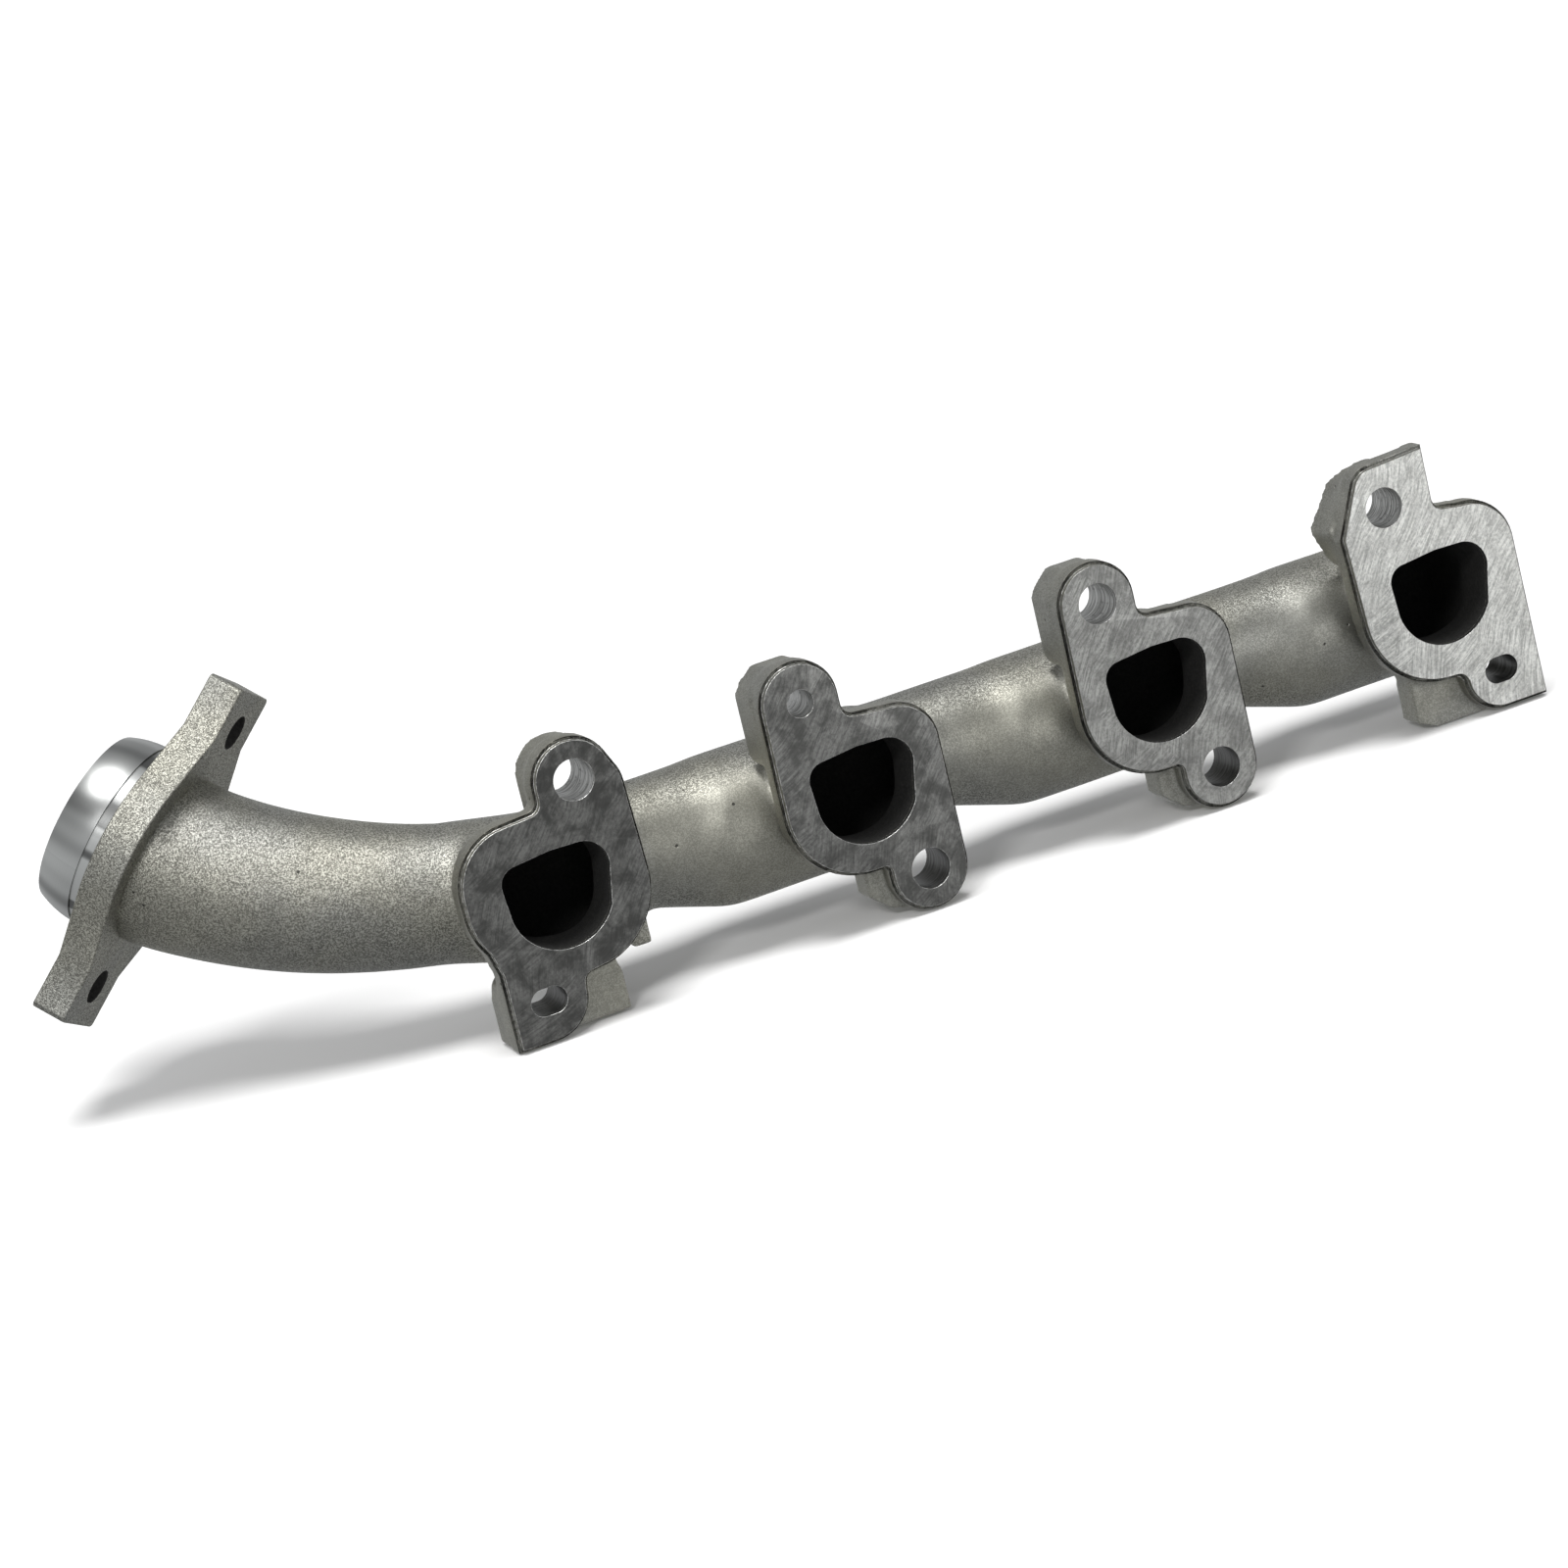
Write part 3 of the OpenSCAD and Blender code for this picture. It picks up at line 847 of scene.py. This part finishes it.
def flange_zone():
    """The space of the four port flanges, as far as the neck and the log."""
    sizes = casting()
    half_flange, over, past = 38 * MM, 5 * MM, 1 * MM
    neck_w, neck_h, neck_corner = 26.6 * MM, 24.6 * MM, 9 * MM
    reach = Vector((40 * MM, 0.0, 0.0))
    bm = bmesh.new()
    for centre in PORT_CENTRES:
        low = (centre.x - half_flange, -past, CAD_LOW.z - over)
        high = (centre.x + half_flange, sizes.boss_depth + past, CAD_HIGH.z + over)
        add_block(bm, low, high)
    zone = from_bmesh("flange_zone", bm)
    necks = bmesh.new()
    logs = bmesh.new()
    for k, centre in zip(PORTS, PORT_CENTRES):
        outline = rounded((centre.x, centre.z), neck_w, neck_h, neck_corner)
        add_slab(necks, outline, sizes.flange_depth + 0.4 * MM, sizes.boss_depth + 9 * MM)
        low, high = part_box(f"log_pipe_{min(k, PIPES[-1])}")
        radius = (high.y - low.y) / 2
        level = high.z - radius if k in PIPES else low.z + radius
        axis = Vector((centre.x, (low.y + high.y) / 2, level))
        add_rod(logs, axis - reach, axis + reach, radius + 1 * MM, 96)
    neck_tool = from_bmesh("neck_tool", necks)
    log_tool = from_bmesh("log_tool", logs)
    first = cut("flange_zone_1", zone, "DIFFERENCE", neck_tool)
    second = cut("flange_zone_2", first, "DIFFERENCE", log_tool)
    drop(zone, neck_tool, log_tool, first)
    return second


def finish_piece(piece, slot, *nodes):
    """Smooth shading with crisp machined edges, hung under the root, with the nodes it stands for hidden.
    The slot argument is not used.
    """
    crisp = math.radians(42)
    piece.data.polygons.foreach_set("use_smooth", [True] * len(piece.data.polygons))
    piece.data.set_sharp_from_angle(angle=crisp)
    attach(piece, "root")
    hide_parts(*nodes)


def node_shape(name):
    """The shape of a node with its points joined, ready to edit."""
    bm = bmesh.new()
    bm.from_mesh(NODES[name].data)
    bmesh.ops.remove_doubles(bm, verts=bm.verts, dist=WELD)
    return bm


def merge_flat(bm):
    """Joins the faces that lie in one plane."""
    flat = math.radians(0.5)
    bmesh.ops.dissolve_limit(bm, angle_limit=flat, verts=bm.verts, edges=bm.edges)


def add_bevel(piece, width, segments, angle):
    """Rounds the edges that turn by more than this angle in degrees."""
    bevel = piece.modifiers.new("bevel", "BEVEL")
    bevel.width = width
    bevel.segments = segments
    bevel.limit_method = "ANGLE"
    bevel.angle_limit = math.radians(angle)
    return bevel


# ---- the makers of the pieces ----
class MANIFOLD_OT_rough_casting(bpy.types.Operator):
    """Make the whole cast skin, with its fillets, and drill the bolt holes"""

    bl_idname = "manifold.rough_casting"
    bl_label = "Rough casting"

    def execute(self, context):
        sizes = casting()
        cell = sizes.cell * 1.0
        plugs = hole_tools("plugs", 0.0, 0.0, 0.4 * MM)
        cast = [o for name, o in NODES.items() if name not in ("ball_seat", "outlet_flange")]
        end = outlet_tube()
        skin = remeshed("rough_casting", [*cast, plugs, end], cell)
        smooth_skin(skin.data)
        front = block("front", (-FAR, -FAR, -FAR), (FAR, sizes.face_depth, FAR))
        faced = cut("faced_casting", skin, "DIFFERENCE", front)
        past = 3 * MM
        drills = hole_tools("drills", -past, past)
        drilled = cut("drilled_casting", faced, "DIFFERENCE", drills)
        drop(plugs, end, skin, front, faced, drills)
        mark_passages(drilled.data)
        zone = flange_zone()
        cut("flange_castings", drilled, "INTERSECT", zone)
        cut("log_casting", drilled, "DIFFERENCE", zone)
        drop(drilled, zone)
        return {"FINISHED"}


class MANIFOLD_OT_flanges(bpy.types.Operator):
    """Cut the four port flanges with their bosses and pads from the casting"""

    bl_idname = "manifold.flanges"
    bl_label = "Port flanges"

    def execute(self, context):
        whole = bpy.data.objects["flange_castings"]
        reach = 45 * MM
        for k, centre in zip(PORTS, PORT_CENTRES):
            tool = block("tool", (centre.x - reach, -FAR, -FAR), (centre.x + reach, FAR, FAR))
            piece = cut(f"flange_casting_{k}", whole, "INTERSECT", tool)
            finish_piece(piece, "cast_iron", f"head_flange_{k}")
            drop(tool)
        drop(whole)
        return {"FINISHED"}


def wall_look(place, port):
    """The material of a wall of a milled pad: in the port, in a bolt hole, or round the outside."""
    off = place - port
    if abs(off.x) < PORT_REACH[0] and abs(off.z) < PORT_REACH[2]:
        return "bore_oxide"
    for (hx, hz), radius, run, _ in port_holes():
        if math.hypot(max(abs(place.x - hx) - run, 0.0), place.z - hz) < radius + 0.05 * MM:
            return "drilled_wall"
    return "blasted_iron"


class MANIFOLD_OT_faces(bpy.types.Operator):
    """Make the milled pads that stand proud of the four port flanges"""

    bl_idname = "manifold.faces"
    bl_label = "Milled faces"

    def execute(self, context):
        sizes = casting()
        back = {"plane_co": (0.0, sizes.face_depth, 0.0), "plane_no": (0.0, 1.0, 0.0)}
        for k, centre in zip(PORTS, PORT_CENTRES):
            bm = node_shape(f"head_flange_{k}")
            geometry = [*bm.verts, *bm.edges, *bm.faces]
            bmesh.ops.bisect_plane(bm, geom=geometry, dist=0.001 * MM, clear_outer=True, **back)
            rim = [e for e in bm.edges if e.is_boundary]
            bmesh.ops.triangle_fill(bm, use_beauty=True, edges=rim, normal=back["plane_no"])
            bmesh.ops.recalc_face_normals(bm, faces=bm.faces)
            merge_flat(bm)
            piece = from_bmesh(f"milled_face_{k}", bm)
            piece.data.materials.append(material("milled_face", k))
            for name in PAD_LOOKS[1:]:
                piece.data.materials.append(material(name))
            for polygon in piece.data.polygons:
                if abs(polygon.normal.y) < 0.5:
                    polygon.material_index = PAD_LOOKS.index(wall_look(polygon.center, centre))
            bevel = add_bevel(piece, sizes.burr, 2, 50)
            bevel.material = PAD_LOOKS.index("bright_burr")
            finish_piece(piece, "machined_flange", f"head_flange_{k}")
        return {"FINISHED"}


def sections():
    """Each section of the log: its name, where it begins and ends along the row, and its nodes."""
    found = []
    starts = [ELBOW_START] + [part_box(f"log_pipe_{k}")[1].x for k in PIPES]
    ends = [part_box(f"log_pipe_{k}")[0].x for k in PIPES] + [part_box("log_end_cap")[0].x]
    for k, start, end in zip(PORTS, starts, ends):
        found.append((f"port_branch_{k}", start, end, (f"port_neck_{k}", f"log_junction_{k}")))
    for k in PIPES:
        low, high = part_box(f"log_pipe_{k}")
        extra = ("underside_rib",) if k == 1 else ()
        found.append((f"log_pipe_skin_{k}", low.x, high.x, (f"log_pipe_{k}", *extra)))
    found.append(("log_cap_skin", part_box("log_end_cap")[0].x, FAR, ("log_end_cap",)))
    return found


class MANIFOLD_OT_log(bpy.types.Operator):
    """Cut the branches, the pipes between them and the end cap from the casting"""

    bl_idname = "manifold.log"
    bl_label = "Log sections"

    def execute(self, context):
        whole = bpy.data.objects["log_casting"]
        for name, start, end, nodes in sections():
            tool = block("tool", (start, -FAR, -FAR), (end, FAR, FAR))
            finish_piece(cut(name, whole, "INTERSECT", tool), "cast_iron", *nodes)
            drop(tool)
        return {"FINISHED"}


class MANIFOLD_OT_elbow(bpy.types.Operator):
    """Cut the elbow from the casting, as far as the outlet flange"""

    bl_idname = "manifold.elbow"
    bl_label = "Elbow"

    def execute(self, context):
        whole = bpy.data.objects["log_casting"]
        left = block("left", (-FAR, -FAR, -FAR), (ELBOW_START, FAR, FAR))
        arm = cut("arm", whole, "INTERSECT", left)
        reach = 0.2
        seat = facing(OUTLET_AXIS, OUTLET_FACE)
        tool = block("tool", (-reach, -reach, 0.0), (reach, reach, reach), seat)
        finish_piece(cut("elbow_skin", arm, "DIFFERENCE", tool), "cast_iron", "outlet_elbow")
        drop(left, arm, tool, whole)
        return {"FINISHED"}


class MANIFOLD_OT_outlet_flange(bpy.types.Operator):
    """Make the thick two-ear flange at the outlet"""

    bl_idname = "manifold.outlet_flange"
    bl_label = "Outlet flange"

    def execute(self, context):
        bm = node_shape("outlet_flange")
        merge_flat(bm)
        piece = from_bmesh("outlet_flange_skin", bm)
        for name in CAST_LOOKS[:2]:
            piece.data.materials.append(material(name))
        holes = [(OUTLET_FACE, OUTLET_BORE), *ear_holes()]
        for polygon in piece.data.polygons:
            for place, radius in holes:
                off = polygon.center - place
                off -= OUTLET_AXIS * off.dot(OUTLET_AXIS)
                if abs(polygon.normal.dot(OUTLET_AXIS)) < 0.5 and off.length < radius:
                    polygon.material_index = CAST_LOOKS.index("bore_oxide")
        add_bevel(piece, casting().outlet_edge, 3, 35)
        finish_piece(piece, "cast_iron", "outlet_flange")
        return {"FINISHED"}


class MANIFOLD_OT_ball_seat(bpy.types.Operator):
    """Give the ball seat its turned finish"""

    bl_idname = "manifold.ball_seat"
    bl_label = "Ball seat"

    def execute(self, context):
        seat = NODES["ball_seat"]
        seat.data.materials.clear()
        seat.data.materials.append(material("turned_seat"))
        return {"FINISHED"}


def turned_lamp(name, lamp, way):
    """A light that shines this way."""
    made = new_object(name, lamp)
    made.rotation_mode = "QUATERNION"
    made.rotation_quaternion = way.to_track_quat("-Z", "Y")
    return made


def area_light(name, place, size, power):
    """A soft panel light that points at the middle of the part."""
    lamp = bpy.data.lights.new(name, "AREA")
    lamp.shape = "RECTANGLE"
    lamp.size, lamp.size_y = size
    lamp.energy = power
    made = turned_lamp(name, lamp, Vector(studio().aim) - Vector(place))
    made.location = place


def make_floor():
    """White paper under the part; the metal doesn't mirror it, so its underside stays dark."""
    half_side = 40.0
    bm = bmesh.new()
    bmesh.ops.create_grid(bm, x_segments=1, y_segments=1, size=half_side)
    floor = from_bmesh("floor", bm)
    floor.location.z = CAD_LOW.z
    s = Sheet("floor_paper")
    s.set(Base_Color=tuple(studio().paper), Roughness=0.95)
    floor.data.materials.append(s.material)
    floor.visible_glossy = False


def make_world(scene):
    """A pale room, brightest at eye level and darker above and below."""
    view = studio()
    world = bpy.data.worlds.new("studio")
    scene.world = world
    world.use_nodes = True
    n = Nodes(world.node_tree)
    way = n.add("ShaderNodeTexCoord").value("Generated")
    height = n.add("ShaderNodeSeparateXYZ", None, {"Vector": way}).value("Z")
    from_level = n.add("ShaderNodeMath", {"operation": "ABSOLUTE"}, {0: height}).value()
    shades = {"Value": from_level, "From Max": 0.95, "To Min": view.horizon, "To Max": view.poles}
    sky = n.tree.nodes["Background"]
    n.link(tuple(view.room), sky.inputs["Color"])
    n.link(n.add("ShaderNodeMapRange", None, shades).value(), sky.inputs["Strength"])


def make_lights():
    """A soft overhead light, and a panel on each side of the camera."""
    view = studio()
    sun = bpy.data.lights.new("overhead", "SUN")
    sun.energy = view.sun
    sun.angle = view.sun_size
    turned_lamp("overhead", sun, Vector((0.06, 0.16, -1.0)))
    area_light("key", (-0.9, -1.2, 1.0), (0.35, 0.3), view.key)
    area_light("fill", (0.75, -1.0, 0.1), (0.7, 0.45), view.fill)


def make_camera(scene):
    """The camera, turned round the point it looks at and then rolled."""
    view = studio()
    camera = new_object("camera", bpy.data.cameras.new("camera"))
    camera.data.sensor_width = 36.0
    camera.data.lens = view.lens
    camera.data.clip_start = 0.05
    camera.data.clip_end = 200.0
    flat = math.cos(view.elevation)
    x, y = -math.sin(view.azimuth) * flat, -math.cos(view.azimuth) * flat
    back = Vector((x, y, math.sin(view.elevation)))
    camera.location = Vector(view.aim) + back * view.distance
    level_view = (-back).to_track_quat("-Z", "Y").to_matrix()
    turned = level_view @ Matrix.Rotation(view.roll, 3, "Z")
    camera.rotation_mode = "QUATERNION"
    camera.rotation_quaternion = turned.to_quaternion()
    scene.camera = camera


class MANIFOLD_OT_stage(bpy.types.Operator):
    """Put up the floor, the lights and the camera"""

    bl_idname = "manifold.stage"
    bl_label = "Studio"

    def execute(self, context):
        make_floor()
        make_world(context.scene)
        make_lights()
        make_camera(context.scene)
        context.scene.view_settings.view_transform = "Standard"
        return {"FINISHED"}


class MANIFOLD_PT_panel(bpy.types.Panel):
    """The makers, in the order they are used"""

    bl_label = "Exhaust manifold"
    bl_space_type = "VIEW_3D"
    bl_region_type = "UI"
    bl_category = "Manifold"

    def draw(self, context):
        for maker in MAKERS:
            self.layout.operator(maker.bl_idname)
        for group in (casting(), finish(), studio()):
            box = self.layout.box()
            for name in group.__annotations__:
                box.prop(group, name)


MAKERS = (
    MANIFOLD_OT_rough_casting,
    MANIFOLD_OT_flanges,
    MANIFOLD_OT_faces,
    MANIFOLD_OT_log,
    MANIFOLD_OT_elbow,
    MANIFOLD_OT_outlet_flange,
    MANIFOLD_OT_ball_seat,
    MANIFOLD_OT_stage,
)
CLASSES = (ManifoldCasting, ManifoldFinish, ManifoldStudio, *MAKERS, MANIFOLD_PT_panel)


def register():
    for kind in CLASSES:
        bpy.utils.register_class(kind)
    bpy.types.Scene.manifold_casting = bpy.props.PointerProperty(type=ManifoldCasting)
    bpy.types.Scene.manifold_finish = bpy.props.PointerProperty(type=ManifoldFinish)
    bpy.types.Scene.manifold_studio = bpy.props.PointerProperty(type=ManifoldStudio)


def unregister():
    del bpy.types.Scene.manifold_studio
    del bpy.types.Scene.manifold_finish
    del bpy.types.Scene.manifold_casting
    for kind in reversed(CLASSES):
        bpy.utils.unregister_class(kind)


def main():
    register()
    for maker in MAKERS:
        group, name = maker.bl_idname.split(".")
        getattr(getattr(bpy.ops, group), name)()


if __name__ == "__main__":
    main()
